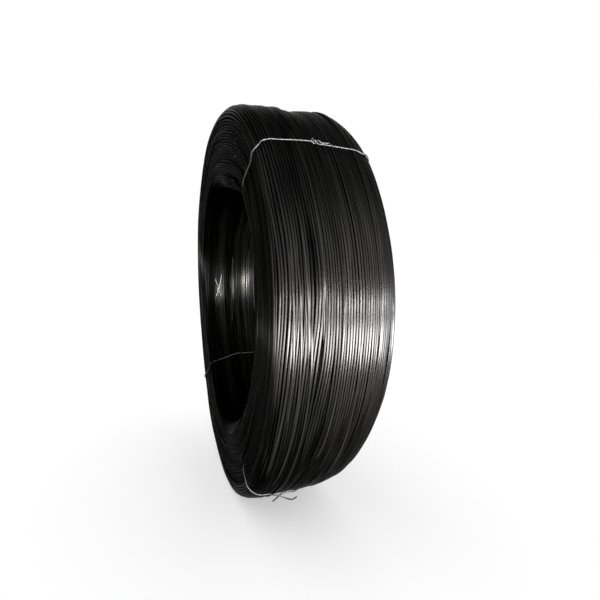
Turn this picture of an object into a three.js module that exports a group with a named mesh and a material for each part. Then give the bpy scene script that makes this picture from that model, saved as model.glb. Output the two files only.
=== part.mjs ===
// Coil of steel wire standing on its rim, held by three wire ties.
// Millimetres, +Z up. The coil's axis lies along X, its middle is over the origin and its rim
// rests on the floor at z = 0. The winding is one turned solid with its bore, and the layers of
// wire show as ridges on both of its ends. Each tie is a single length of thin wire.
import * as THREE from 'three';

// ---- winding ----
const WIRE_D = 5.5; // diameter of the wound wire, and so the thickness of one layer
const LAYERS = 33; // layers of wire between the bore and the rim
const BORE_R = 320; // inside radius of the winding
const COIL_W = 265; // width between the crests of the two ends
const RIDGE_DEPTH = 1.6; // depth of the groove between two turns on an end
const ROUND_A = { axial: 35, radial: 33 }; // rounding of the rim at the -X end
const ROUND_B = { axial: 100, radial: 71.5 }; // rounding of the rim at the +X end
const ROUND_BORE = { axial: 22, radial: 33 }; // rounding of the bore's two edges
const SECTORS = 48; // flats around the winding, a multiple of 4 so one lies on the floor
const SPLIT = { width: 6, depth: 9 }; // groove where two bands of turns part
const RIM_SPLITS = [42, 108, 182, 238]; // grooves in the rim, as distances from the -X end
const BORE_SPLITS = [70, 136, 198]; // grooves in the bore, as distances from the -X end

// ---- ties ----
const TIE_D = 3; // diameter of the tie wire
const TIE_GAP = 0.3; // clearance between a tie and the winding, and between its two ends
const TWIST_PITCH = 12; // length of one turn of the twisted ends
const TWIST_TURNS = 1.25; // turns of the twisted ends
const BEND_R = 3; // centreline radius where an end turns off the rim into the twist
const TIES = [
  { name: 'tie_upper', angle: 45, knot: -4 },
  { name: 'tie_rear', angle: 217.5, knot: 20 },
  { name: 'tie_lower', angle: -60, knot: -50 },
]; // angle about the axis from the front (-Y) towards the top, and the knot's place along X

const RIM_R = BORE_R + LAYERS * WIRE_D;

// Points of an elliptical corner about (x, r), from angle a0 to a1 in degrees.
function corner(x, r, axial, radial, a0, a1, steps) {
  const points = [];
  for (let i = 0; i <= steps; i++) {
    const a = THREE.MathUtils.degToRad(a0 + ((a1 - a0) * i) / steps);
    points.push(new THREE.Vector2(x + axial * Math.cos(a), r + radial * Math.sin(a)));
  }
  return points;
}

// The four rounded corners of the winding's half section, grown outwards by `grow`, in order
// from the rim at the -X end, down that end, through the bore and back up the +X end.
function sectionCorners(grow) {
  const half = COIL_W / 2;
  const round = (x, r, size, a0, a1, steps) =>
    corner(x, r, size.axial + grow, size.radial + grow, a0, a1, steps);
  return {
    rimA: round(-half + ROUND_A.axial, RIM_R - ROUND_A.radial, ROUND_A, 90, 180, 5),
    boreA: round(-half + ROUND_BORE.axial, BORE_R + ROUND_BORE.radial, ROUND_BORE, 180, 270, 4),
    boreB: round(half - ROUND_BORE.axial, BORE_R + ROUND_BORE.radial, ROUND_BORE, 270, 360, 4),
    rimB: round(half - ROUND_B.axial, RIM_R - ROUND_B.radial, ROUND_B, 0, 90, 7),
  };
}

// Grooves between the layers on the flat of one end, from the bore outwards.
function grooves(side, rimRound) {
  const crest = (side * COIL_W) / 2;
  const valley = crest - side * RIDGE_DEPTH;
  const first = Math.ceil(ROUND_BORE.radial / WIRE_D - 1e-9);
  const last = Math.floor((RIM_R - rimRound.radial - BORE_R) / WIRE_D + 1e-9);
  const points = [];
  for (let layer = first; layer < last; layer++) {
    const r = BORE_R + layer * WIRE_D;
    if (layer > first) points.push(new THREE.Vector2(valley, r));
    points.push(new THREE.Vector2(crest, r + WIRE_D / 2));
  }
  return points;
}

// Cuts the grooves between bands of turns into a stretch of the outline, where it passes the
// given distances from the -X end. A groove stays inside the straight piece that it falls on.
function splitBands(line, distances) {
  const points = [line[0]];
  for (let i = 1; i < line.length; i++) {
    const from = line[i - 1];
    const along = line[i].clone().sub(from);
    const length = along.length();
    const share = (distance) => (distance - COIL_W / 2 - from.x) / along.x;
    const cuts = distances.map(share).filter((t) => t > 0 && t <= 1).sort((a, b) => a - b);
    along.normalize();
    const inward = new THREE.Vector2(-along.y, along.x);
    for (const cut of cuts) {
      const middle = THREE.MathUtils.clamp(cut * length, SPLIT.width, length - SPLIT.width);
      points.push(
        from.clone().addScaledVector(along, middle - SPLIT.width / 2),
        from.clone().addScaledVector(along, middle).addScaledVector(inward, SPLIT.depth),
        from.clone().addScaledVector(along, middle + SPLIT.width / 2),
      );
    }
    points.push(line[i]);
  }
  return points;
}

// ---- the winding as one turned solid ----
function windingGeometry() {
  const c = sectionCorners(0);
  const outline = [
    ...grooves(-1, ROUND_A).reverse(),
    ...splitBands([...c.boreA, ...c.boreB], BORE_SPLITS),
    ...grooves(1, ROUND_B),
    ...splitBands([...c.rimB, ...c.rimA], RIM_SPLITS),
  ];
  // Sizes are across the flats, so the turned corners stand a little further out.
  const toCorner = 1 / Math.cos(Math.PI / SECTORS);
  const profile = outline.reverse().map((p) => new THREE.Vector2(p.y * toCorner, p.x));
  profile.push(profile[0].clone());
  const geometry = new THREE.LatheGeometry(profile, SECTORS, Math.PI / SECTORS);
  geometry.rotateZ(-Math.PI / 2);
  return geometry;
}

// A path straight from point to point, whose parameter counts points and not length, so a
// swept wire has its rings exactly at the given points.
class PointPath extends THREE.Curve {
  constructor(points) {
    super();
    this.points = points;
  }

  getPoint(t, target = new THREE.Vector3()) {
    const at = THREE.MathUtils.clamp(t, 0, 1) * (this.points.length - 1);
    const i = Math.min(Math.floor(at), this.points.length - 2);
    return target.lerpVectors(this.points[i], this.points[i + 1], at - i);
  }

  getPointAt(t, target) {
    return this.getPoint(t, target);
  }

  getTangentAt(t, target) {
    return this.getTangent(t, target);
  }
}

// ---- one tie, in its own plane: x along the coil, y across the tie, z outwards ----
function tieGeometry(knot) {
  const stand = TIE_GAP + TIE_D / 2;
  const apart = (TIE_D + TIE_GAP) / 2;
  const base = RIM_R + stand;

  // An end of the wire, from the rim up through the twist. side -1 comes from -X, 1 from +X.
  const end = (side) => {
    const points = [];
    for (let i = 0; i <= 3; i++) {
      const a = ((Math.PI / 2) * i) / 3;
      const x = knot + side * (apart + BEND_R * (1 - Math.sin(a)));
      points.push(new THREE.Vector3(x, 0, base + BEND_R * (1 - Math.cos(a))));
    }
    const steps = Math.round(TWIST_TURNS * 10);
    for (let i = 1; i <= steps; i++) {
      const turn = (TWIST_TURNS * i) / steps;
      const a = 2 * Math.PI * turn;
      const out = base + BEND_R + TWIST_PITCH * turn;
      const x = knot + side * apart * Math.cos(a);
      points.push(new THREE.Vector3(x, side * apart * Math.sin(a), out));
    }
    return points;
  };

  const c = sectionCorners(stand);
  const around = [...c.rimA, ...c.boreA, ...c.boreB, ...c.rimB];
  const points = [
    ...end(-1).reverse(),
    ...around.map((p) => new THREE.Vector3(p.x, 0, p.y)),
    ...end(1),
  ];

  const section = new THREE.Shape();
  for (let i = 0; i < 8; i++) {
    const a = (2 * Math.PI * (i + 0.5)) / 8;
    const x = (TIE_D / 2) * Math.cos(a);
    const y = (TIE_D / 2) * Math.sin(a);
    if (i === 0) section.moveTo(x, y);
    else section.lineTo(x, y);
  }
  section.closePath();
  return new THREE.ExtrudeGeometry(section, {
    steps: points.length - 1,
    bevelEnabled: false,
    extrudePath: new PointPath(points),
  });
}

// ---- the scene ----
const darkWire = new THREE.MeshStandardMaterial({
  name: 'dark_wire',
  color: 0x2a2b2d,
  metalness: 0.9,
  roughness: 0.38,
});
const tieWire = new THREE.MeshStandardMaterial({
  name: 'tie_wire',
  color: 0xa9acae,
  metalness: 0.9,
  roughness: 0.45,
});

const coil = new THREE.Group();
coil.name = 'wire_coil_with_ties';
coil.position.z = RIM_R;

const winding = new THREE.Mesh(windingGeometry(), darkWire);
winding.name = 'wire_coil';
coil.add(winding);

for (const { name, angle, knot } of TIES) {
  const tie = new THREE.Mesh(tieGeometry(knot), tieWire);
  tie.name = name;
  tie.rotation.x = THREE.MathUtils.degToRad(90 - angle);
  coil.add(tie);
}

export default coil;
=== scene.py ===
"""A coil of dark steel wire standing on its rim, laid turn by turn and tied with thin wire.

The coil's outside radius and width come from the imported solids, and the other sizes are written
below. The winding is shown as one skin of swept turns all round its section, with a second skin
under it and a plain core inside. Each tie is one swept wire with its own knot.

Lengths are in metres, and the left end is the one at -X. Angles about the coil's axis start at
the front (-Y) and rise over the top. They are in radians unless their name or note says degrees.
"""

from __future__ import annotations

import logging
import math
from dataclasses import dataclass, field
from enum import Enum

import bpy
import numpy as np
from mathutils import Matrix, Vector

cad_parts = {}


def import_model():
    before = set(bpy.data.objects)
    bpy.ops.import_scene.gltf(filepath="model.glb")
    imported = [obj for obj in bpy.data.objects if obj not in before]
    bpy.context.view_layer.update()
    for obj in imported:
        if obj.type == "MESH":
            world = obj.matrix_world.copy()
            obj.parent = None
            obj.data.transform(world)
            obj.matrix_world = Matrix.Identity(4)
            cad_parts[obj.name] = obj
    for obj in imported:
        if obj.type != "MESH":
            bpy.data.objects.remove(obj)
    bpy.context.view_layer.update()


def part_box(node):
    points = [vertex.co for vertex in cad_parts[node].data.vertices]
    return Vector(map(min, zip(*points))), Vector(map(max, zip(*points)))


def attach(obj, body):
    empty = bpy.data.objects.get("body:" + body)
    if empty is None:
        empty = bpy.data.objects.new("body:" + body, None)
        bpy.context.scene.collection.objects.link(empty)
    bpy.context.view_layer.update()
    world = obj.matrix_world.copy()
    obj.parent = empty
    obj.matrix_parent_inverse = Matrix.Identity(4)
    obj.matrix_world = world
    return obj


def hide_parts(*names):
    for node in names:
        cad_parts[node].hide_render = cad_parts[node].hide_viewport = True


LOG = logging.getLogger("wire_coil")

WIRE_D = 0.0055
TIE_D = 0.003
BODY = "root"
TURN = 2.0 * math.pi

Point = tuple[float, float, float]
Colour = tuple[float, float, float, float]


# --------------------------------------------------------------------------------------
# Lines and turns
# --------------------------------------------------------------------------------------


def lengths(points: np.ndarray) -> np.ndarray:
    """Returns the length of a line before each of its points."""
    return np.r_[0.0, np.cumsum(np.linalg.norm(np.diff(points, axis=0), axis=1))]


def wrapped(value: np.ndarray, whole: float) -> np.ndarray:
    """Returns the values less whole rounds, so that they lie within half a round of zero."""
    return (value + whole / 2) % whole - whole / 2


def turned(flat: np.ndarray, angle: np.ndarray) -> np.ndarray:
    """Turns flat (x, radius) vectors about the coil's axis.

    Args:
        flat: the vectors, one to a row.
        angle: angle of each about the axis.

    Returns:
        The vectors in space.
    """
    x, r = flat.T
    return np.stack([x, -r * np.cos(angle), r * np.sin(angle)], 1)


# --------------------------------------------------------------------------------------
# Smooth variation
# --------------------------------------------------------------------------------------


def smooth_step(x: np.ndarray) -> np.ndarray:
    """Returns 0 below 0, 1 above 1, and a smooth rise between."""
    x = np.clip(x, 0.0, 1.0)
    return x * x * (3.0 - 2.0 * x)


@dataclass(frozen=True)
class Ramp:
    """A smooth rise from 0 to 1.

    Attributes:
        start: value at which it leaves 0.
        over: how much further on it reaches 1. Below zero, it rises towards smaller values.
    """

    start: float
    over: float

    def __call__(self, value: np.ndarray) -> np.ndarray:
        """Returns how far the rise has come at the values."""
        return smooth_step((value - self.start) / self.over)


@dataclass(frozen=True)
class WaveBand:
    """Which waves run round the coil.

    Attributes:
        fewest: number of the longest waves round the coil.
        most: number of the shortest waves round the coil.
        fall: how fast the shorter waves weaken.
    """

    fewest: int
    most: int
    fall: float


class RoundNoise:
    """A smooth seeded function of the angle that closes on itself."""

    def __init__(self, rng: np.random.Generator, band: WaveBand) -> None:
        """Draws the waves.

        Args:
            rng: seeded generator.
            band: which waves they are.
        """
        self.number = np.arange(band.fewest, band.most + 1)
        self.phase = rng.uniform(0.0, TURN, len(self.number))
        size = rng.normal(size=len(self.number)) / self.number**band.fall
        self.size = size / math.sqrt(0.5 * float((size**2).sum()))

    def __call__(self, angle: np.ndarray) -> np.ndarray:
        """Adds the waves up.

        Args:
            angle: angles about the axis.

        Returns:
            The function at the angles, with a mean square of one.
        """
        total = np.zeros_like(angle)
        for number, phase, size in zip(self.number, self.phase, self.size):
            total += size * np.cos(number * angle + phase)
        return total


@dataclass(frozen=True)
class Wave:
    """A slow function of the angle.

    Attributes:
        mean: its mean.
        once: (cosine, sine) sizes of its one wave round the coil.
        twice: the same of its two waves.
        thrice: the same of its three waves.
    """

    mean: float = 0.0
    once: tuple[float, float] = (0.0, 0.0)
    twice: tuple[float, float] = (0.0, 0.0)
    thrice: tuple[float, float] = (0.0, 0.0)

    def __call__(self, angle: np.ndarray) -> np.ndarray:
        """Adds the waves up.

        Args:
            angle: angles about the axis.

        Returns:
            The function at the angles.
        """
        total = np.full_like(angle, self.mean)
        for number, (cos, sin) in enumerate((self.once, self.twice, self.thrice), start=1):
            total += cos * np.cos(number * angle) + sin * np.sin(number * angle)
        return total


# --------------------------------------------------------------------------------------
# Winding section
# --------------------------------------------------------------------------------------


@dataclass(frozen=True)
class Rounding:
    """One rounded edge of the winding, a quarter of an ellipse.

    Attributes:
        axial: its half axis along X.
        radial: its half axis outwards.
    """

    axial: float
    radial: float


class Region(Enum):
    """The four sides of the winding's section."""

    LEFT_END = "left end"
    RIM = "rim"
    RIGHT_END = "right end"
    BORE = "bore"


class Outline:
    """A closed line in the (x, radius) plane, measured by its length."""

    NORMAL_REACH = 6e-4  # how far along, both ways, a normal looks at the line

    def __init__(self, points: np.ndarray, marks: list[np.ndarray]) -> None:
        """Measures the line and finds where its regions meet.

        Args:
            points: the line's corners, closed on itself.
            marks: the line's points where the rim, the right end and the bore begin.
        """
        self.points = points
        self.at = lengths(points)
        self.length = float(self.at[-1])
        rim, right, bore = (
            float(self.at[np.argmin(np.linalg.norm(points - mark, axis=1))]) for mark in marks
        )
        self.spans = {
            Region.LEFT_END: (0.0, rim),
            Region.RIM: (rim, right),
            Region.RIGHT_END: (right, bore),
            Region.BORE: (bore, self.length),
        }

    def place(self, s: np.ndarray) -> np.ndarray:
        """Returns the (x, radius) points at the lengths s."""
        s = np.mod(s, self.length)
        return np.stack([np.interp(s, self.at, self.points[:, k]) for k in (0, 1)], -1)

    def outward(self, s: np.ndarray) -> np.ndarray:
        """Finds which way is outward.

        Args:
            s: lengths along the line.

        Returns:
            The unit normals there, as (x, radius).
        """
        along = self.place(s + self.NORMAL_REACH) - self.place(s - self.NORMAL_REACH)
        along /= np.linalg.norm(along, axis=-1, keepdims=True)
        return np.stack([-along[..., 1], along[..., 0]], -1)


@dataclass(frozen=True)
class WindingSection:
    """Half section of the winding: a rounded rectangle between the bore and the rim.

    Attributes:
        rim_radius: outside radius.
        width: width along X.
        bore_radius: inside radius.
        round_left: rounding of the rim's edge at the left end.
        round_right: rounding of the rim's edge at the right end.
        round_bore: rounding of the bore's two edges.
        arc_points: points on each rounding.
        least_round: smallest half axis that a rounding may shrink to.
        merged: distance below which two points are one.
    """

    rim_radius: float
    width: float
    bore_radius: float = 0.320
    round_left: Rounding = Rounding(0.035, 0.033)
    round_right: Rounding = Rounding(0.100, 0.0715)
    round_bore: Rounding = Rounding(0.022, 0.033)
    arc_points: int = 41
    least_round: float = 2e-4
    merged: float = 1e-7

    def outline(self, inset: float) -> Outline:
        """Draws the section's outline, moved inwards.

        Args:
            inset: distance from the plain surface inwards to the line.

        Returns:
            The closed line, starting where the left end leaves the bore's rounded edge.
        """
        half, lo, hi = self.width / 2, self.bore_radius, self.rim_radius
        a, b, c = self.round_left, self.round_right, self.round_bore
        corners = (
            (-half + a.axial, hi - a.radial, a, 180.0, 90.0),
            (half - b.axial, hi - b.radial, b, 90.0, 0.0),
            (half - c.axial, lo + c.radial, c, 0.0, -90.0),
            (-half + c.axial, lo + c.radial, c, -90.0, -180.0),
        )
        arcs: list[np.ndarray] = []
        for x, r, size, start, stop in corners:
            turn = np.radians(np.linspace(start, stop, self.arc_points))
            axial = max(size.axial - inset, self.least_round)
            radial = max(size.radial - inset, self.least_round)
            arcs.append(np.stack([x + axial * np.cos(turn), r + radial * np.sin(turn)], 1))
        points = np.vstack([arcs[3][-1:], *arcs])
        keep = np.r_[True, np.linalg.norm(np.diff(points, axis=0), axis=1) > self.merged]
        return Outline(points[keep], [arcs[0][0], arcs[1][-1], arcs[2][0]])


@dataclass(frozen=True)
class Patch:
    """A soft-edged place on the winding that adds to a quantity.

    Attributes:
        x: its middle along X.
        degrees: its middle about the axis, in degrees.
        along: how far it spreads along X.
        around: how far it spreads about the axis, in degrees.
        amount: what it adds in its middle.
    """

    x: float
    degrees: float
    along: float
    around: float
    amount: float

    def __call__(self, x: np.ndarray, angle: np.ndarray) -> np.ndarray:
        """Returns what the patch adds at the places (x, angle)."""
        away = wrapped(np.degrees(angle) - self.degrees, 360.0)
        return self.amount * np.exp(-(((x - self.x) / self.along) ** 2) - (away / self.around) ** 2)


@dataclass(frozen=True)
class Slump:
    """How the loose winding departs from a true ring.

    Attributes:
        section: the winding's section.
        left: how far the left end sways along X.
        right: the same for the right end.
        swell: how far the whole section moves outwards.
        bulges: where the rim bulges out, or in where the amount is below zero.
        bore: where the turns of the bore sag at the top, and are drawn together where the upper
            tie passes.
    """

    section: WindingSection
    left: Wave = Wave(0.0, (-0.0005, -0.0045), (0.0040, 0.0035))
    right: Wave = Wave(0.0020, (-0.0020, 0.0065), (0.0020, 0.0))
    swell: Wave = Wave(0.0, (-0.0022, -0.0022), (-0.0022, 0.0), (0.0, 0.0022))
    bulges: tuple[Patch, ...] = (
        Patch(-0.125, -66.0, 0.050, 22.0, 0.0070),
        Patch(-0.064, -67.0, 0.017, 12.0, 0.0036),
        Patch(0.050, -62.0, 0.060, 18.0, -0.0025),
        Patch(0.115, 70.0, 0.060, 22.0, 0.0065),
    )
    bore: tuple[Patch, ...] = (
        Patch(0.0, 84.0, 1.0, 34.0, -0.016),
        Patch(0.0, 52.0, 1.0, 13.0, 0.016),
    )

    def bend(self, flat: np.ndarray, angle: np.ndarray) -> np.ndarray:
        """Moves points of a true ring to the slumped one.

        Args:
            flat: (x, radius) points of the true ring.
            angle: angle of each point about the axis.

        Returns:
            The moved (x, radius) points.
        """
        section = self.section
        across = flat[:, 0] / section.width + 0.5
        x = flat[:, 0] + self.left(angle) * (1.0 - across) + self.right(angle) * across
        depth = (section.rim_radius - flat[:, 1]) / (section.rim_radius - section.bore_radius)
        rim = sum(bulge(x, angle) for bulge in self.bulges)
        bore = sum(bulge(x, angle) for bulge in self.bore)
        inner = smooth_step(depth)
        grown = self.swell(angle) + rim * (1.0 - inner) + bore * inner
        return np.stack([x, flat[:, 1] + grown], 1)

    def to_space(self, flat: np.ndarray, angle: np.ndarray, rest: float) -> np.ndarray:
        """Places points of the true ring in space.

        Args:
            flat: (x, radius) points of the true ring.
            angle: angle of each point about the axis.
            rest: lowest height that a point may have over the floor.

        Returns:
            The points in space.
        """
        points = turned(self.bend(flat, angle), angle)
        points[:, 2] = np.maximum(self.section.rim_radius + points[:, 2], rest)
        return points


# --------------------------------------------------------------------------------------
# Laps: how far apart the turns lie and how high each of them stands
# --------------------------------------------------------------------------------------


class LapTable:
    """A number for each lap and angle, which flows on from one lap to the next."""

    def __init__(self, rows: np.ndarray) -> None:
        """Keeps one row of evenly spaced angles for each lap."""
        self.rows = np.hstack([rows, rows[:, :1]])

    @staticmethod
    def angles(samples: int = 720) -> np.ndarray:
        """Returns the angles that a row is given at."""
        return TURN * np.arange(samples) / samples

    def __call__(self, t: np.ndarray, angle: np.ndarray) -> np.ndarray:
        """Reads the table between its rows and columns.

        Args:
            t: lap of each place.
            angle: angle of each place about the axis.

        Returns:
            The numbers there.
        """
        lap = np.clip(np.floor(t).astype(int), 0, len(self.rows) - 2)
        mix = smooth_step(t - lap)
        at = np.mod(angle, TURN) / TURN * (self.rows.shape[1] - 1)
        col = np.minimum(at.astype(int), self.rows.shape[1] - 2)
        part = at - col
        low, high = (
            (1.0 - part) * self.rows[row, col] + part * self.rows[row, col + 1]
            for row in (lap, lap + 1)
        )
        return (1.0 - mix) * low + mix * high


@dataclass
class Bundles:
    """The turns on one side of the section: their gaps, their groups and their unevenness.

    Attributes:
        seed: seed of all that is drawn here.
        turns: turns that cover the side.
        under_turns: turns of the lower skin under them.
        splits: relative width of the gap before a turn, where it isn't a close one.
        close: relative width of the close gaps.
        gap_change: how much a gap's width changes round the coil.
        lifts: how far a group of turns stands out at lift_angle, by its first turn.
        lift_angle: angle where the groups stand out furthest.
        lift_spread: how far round from there they fall back.
        swell: how far a group wanders in and out round the coil.
        uneven: how far each turn wanders by itself.
        fine: how far each turn wanders in short waves.
        step: turns over which one group's height passes into the next one's.
        fade: turns over which the groups' heights fade out towards the next side.
        shades: tone of a group of turns, by its first turn; on the rim and in the bore these tones are
            painted highlight and painted shade.
        contrast: how much the single turns differ in tone.
        shares: share of all the gaps that lies before each turn.
        heights: height of each turn over its group.
        swells: how each group wanders.
    """

    seed: int
    turns: float
    under_turns: float
    splits: dict[int, float]
    close: float = 0.4
    gap_change: float = 0.95
    lifts: dict[int, float] = field(default_factory=dict)
    lift_angle: float = math.radians(92.0)
    lift_spread: float = math.radians(46.0)
    swell: float = 0.0006
    uneven: float = 0.0007
    fine: float = 0.00008
    step: float = 0.7
    fade: float = 1.5
    shades: dict[int, float] = field(default_factory=dict)
    contrast: float = 0.9
    shares: LapTable = field(init=False)
    heights: LapTable = field(init=False)
    swells: list[RoundNoise] = field(default_factory=list, init=False)

    GAP_WAVES = WaveBand(1, 9, 0.4)
    TURN_WAVES = WaveBand(1, 13, 0.15)
    FINE_WAVES = WaveBand(14, 30, 0.0)
    GROUP_WAVES = WaveBand(1, 6, 0.6)

    def __post_init__(self) -> None:
        """Draws the gap before each lap and the height of each lap."""
        rng = np.random.default_rng(self.seed)
        laps = int(math.ceil(self.turns)) + 2
        angle = LapTable.angles()
        gaps, heights = [], []
        for lap in range(laps):
            weight = self.splits.get(lap + 1, self.close)
            gaps.append(weight * np.exp(self.gap_change * RoundNoise(rng, self.GAP_WAVES)(angle)))
            slow = self.uneven * RoundNoise(rng, self.TURN_WAVES)(angle)
            heights.append(slow + self.fine * RoundNoise(rng, self.FINE_WAVES)(angle))
        gaps[-1] = gaps[-2] = np.zeros_like(angle)
        total = np.cumsum(np.array(gaps), axis=0)
        self.shares = LapTable(np.vstack([np.zeros_like(angle), total / total[-1]]))
        self.heights = LapTable(np.array(heights))
        self.swells = [RoundNoise(rng, self.GROUP_WAVES) for _ in range(len(self.lifts) + 1)]

    def gaps(self, t: np.ndarray, angle: np.ndarray, slack: float) -> np.ndarray:
        """Returns the width that the gaps add before each point, out of all their slack."""
        return slack * self.shares(t, angle)

    def height(self, t: np.ndarray, angle: np.ndarray) -> np.ndarray:
        """Finds how far the groups of turns stand out from the plain surface.

        Args:
            t: lap of each point.
            angle: angle of each point about the axis.

        Returns:
            The heights, which fade out where the side meets the next one.
        """
        away = np.abs(wrapped(angle - self.lift_angle, TURN))
        near = np.exp(-((away / self.lift_spread) ** 2))
        level = self.swell * self.swells[0](angle)
        last = np.zeros_like(level)
        for (edge, lift), noise in zip(self.lifts.items(), self.swells[1:]):
            following = lift * near + self.swell * noise(angle)
            level = level + (following - last) * smooth_step((t - edge) / self.step + 0.5)
            last = following
        return level * smooth_step(t / self.fade) * smooth_step((self.turns - t) / self.fade)

    def own_height(self, t: np.ndarray, angle: np.ndarray) -> np.ndarray:
        """Returns the height of each turn over its group."""
        return self.heights(t, angle) * smooth_step(t) * smooth_step(self.turns - t)

    def tone(self, t: np.ndarray, seed: int) -> np.ndarray:
        """Finds how bright each turn is, from 0 to 1 for most of them.

        Args:
            t: lap of each point.
            seed: seed of the turns' own share.

        Returns:
            The tones.
        """
        laps = np.arange(int(self.turns) + 3)
        level = np.full(len(laps), 0.5)
        for lap, shade in self.shades.items():
            level[lap:] = shade
        level += self.contrast * np.random.default_rng(seed).uniform(-0.5, 0.5, len(laps))
        return np.interp(t, laps, level)


# --------------------------------------------------------------------------------------
# Swept wire
# --------------------------------------------------------------------------------------


@dataclass
class WireRun:
    """One length of wire.

    Attributes:
        points: its centreline.
        outward: the way out of the winding at each point.
        turn: laps of wire before each point, each of which is one strip of the mesh's map.
        tone: how bright the wire is at each point.
        radius: radius of the wire.
    """

    points: np.ndarray
    outward: np.ndarray
    turn: np.ndarray
    tone: np.ndarray
    radius: float

    def rings(self, sides: int) -> np.ndarray:
        """Sweeps the wire's section along it.

        Args:
            sides: sides of the section.

        Returns:
            The corners of the tube as (point, side, xyz).
        """
        along = np.gradient(self.points, axis=0)
        along /= np.linalg.norm(along, axis=1, keepdims=True)
        up = self.outward - (self.outward * along).sum(1, keepdims=True) * along
        up /= np.linalg.norm(up, axis=1, keepdims=True)
        side = np.cross(along, up)
        turn = TURN * (np.arange(sides) + 0.5) / sides
        around = np.cos(turn)[None, :, None] * up[:, None]
        around = around + np.sin(turn)[None, :, None] * side[:, None]
        return self.points[:, None] + self.radius * around


class TubeMesh:
    """Collects swept wires into one mesh of closed tubes."""

    STRIP_EDGE = 0.04  # share of a strip of the map that stays free on either side
    STRIP_FILL = 0.98  # share of its last strip that a wire with two free ends fills
    ROUND_OFF = 1e-9  # laps by which a point may fall short of the next one

    def __init__(self, sides: int) -> None:
        """Starts an empty mesh of tubes with the given number of sides."""
        self.sides = sides
        self.runs: list[WireRun] = []

    def add(self, run: WireRun) -> None:
        """Adds one wire."""
        self.runs.append(run)

    def build(self, name: str) -> bpy.types.Object:
        """Makes the object, smooth over the tubes and flat on their cut ends.

        Args:
            name: the object's name.

        Returns:
            The new object, at the origin.
        """
        k = self.sides
        quad, cap = self._faces()
        corners = np.vstack([run.rings(k).reshape(-1, 3) for run in self.runs])
        mesh = bpy.data.meshes.new(name)
        mesh.vertices.add(len(corners))
        mesh.vertices.foreach_set("co", corners.astype(np.float32).ravel())
        loops = np.r_[quad.ravel(), cap.ravel()]
        mesh.loops.add(len(loops))
        mesh.loops.foreach_set("vertex_index", loops.astype(np.int32))
        mesh.polygons.add(len(quad) + len(cap))
        starts = np.r_[np.arange(len(quad)) * 4, len(quad) * 4 + np.arange(len(cap)) * k]
        mesh.polygons.foreach_set("loop_start", starts.astype(np.int32))
        smooth = np.r_[np.ones(len(quad), bool), np.zeros(len(cap), bool)]
        mesh.polygons.foreach_set("use_smooth", smooth)
        mesh.update(calc_edges=True)
        self._lay_map(mesh, cap.size)
        self._store(mesh, "wire_tone", [run.tone for run in self.runs])
        self._store(mesh, "wire_length", [lengths(run.points) for run in self.runs])
        mesh.validate()
        piece = bpy.data.objects.new(name, mesh)
        bpy.context.scene.collection.objects.link(piece)
        return piece

    def _faces(self) -> tuple[np.ndarray, np.ndarray]:
        """Joins the rings of corners into faces.

        Returns:
            The corners of the tubes' side faces, and those of their cut ends.
        """
        k = self.sides
        ring = np.arange(k)
        after = (ring + 1) % k
        quads, caps, first = [], [], 0
        for run in self.runs:
            n = len(run.points)
            base = first + np.arange(n - 1)[:, None] * k
            quad = np.stack([base + ring, base + after, base + k + after, base + k + ring], -1)
            quads.append(quad.reshape(-1, 4))
            caps += [first + ring[::-1], first + (n - 1) * k + ring]
            first += n * k
        return np.vstack(quads), np.stack(caps)

    def _store(self, mesh: bpy.types.Mesh, name: str, values: list[np.ndarray]) -> None:
        """Stores one number for each ring of corners under the given name."""
        data = mesh.attributes.new(name, "FLOAT", "POINT").data
        data.foreach_set("value", np.repeat(np.concatenate(values), self.sides).astype(np.float32))

    def _lay_map(self, mesh: bpy.types.Mesh, cap_corners: int) -> None:
        """Lays each lap of wire out as one strip of the mesh's own map.

        Args:
            mesh: the mesh.
            cap_corners: corners of all the cut ends together, which share one point of the map.
        """
        k = self.sides
        side = np.arange(k)
        laps = [np.floor(run.turn[:-1] + self.ROUND_OFF) for run in self.runs]
        total = sum(int(lap.max() - lap.min()) + 1 for lap in laps)
        fill = 1.0 - 2 * self.STRIP_EDGE
        used, blocks = 0, []
        for run, lap in zip(self.runs, laps):
            row = (lap - lap.min() + used)[:, None]
            v0 = (row + self.STRIP_EDGE + fill * side / k) / total
            v1 = (row + self.STRIP_EDGE + fill * (side + 1) / k) / total
            u0 = np.broadcast_to((run.turn[:-1] - lap)[:, None], v0.shape)
            u1 = np.broadcast_to(np.minimum(run.turn[1:] - lap, 1.0)[:, None], v0.shape)
            u = np.stack([u0, u0, u1, u1], -1)
            v = np.stack([v0, v1, v1, v0], -1)
            blocks.append(np.stack([u, v], -1).reshape(-1, 2))
            used += int(lap.max() - lap.min()) + 1
        blocks.append(np.full((cap_corners, 2), 0.5))
        layer = mesh.uv_layers.new(name="OFBake")
        layer.uv.foreach_set("vector", np.vstack(blocks).astype(np.float32).ravel())


# --------------------------------------------------------------------------------------
# The winding
# --------------------------------------------------------------------------------------


@dataclass(frozen=True)
class Crosser:
    """A loose turn that rises out of a gap, lies over its neighbours and dives again.

    Attributes:
        region: the side of the section that it lies on.
        start: angle in degrees where it comes up.
        span: degrees to where it is gone again.
        leave: where across its side it comes up, from 0 to 1.
        join: where across its side it dives.
        rise: how far it lies over the other turns, in wire diameters.
        shade: its tone.
    """

    region: Region
    start: float
    span: float
    leave: float
    join: float
    rise: float = 0.55
    shade: float = 0.8


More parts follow.
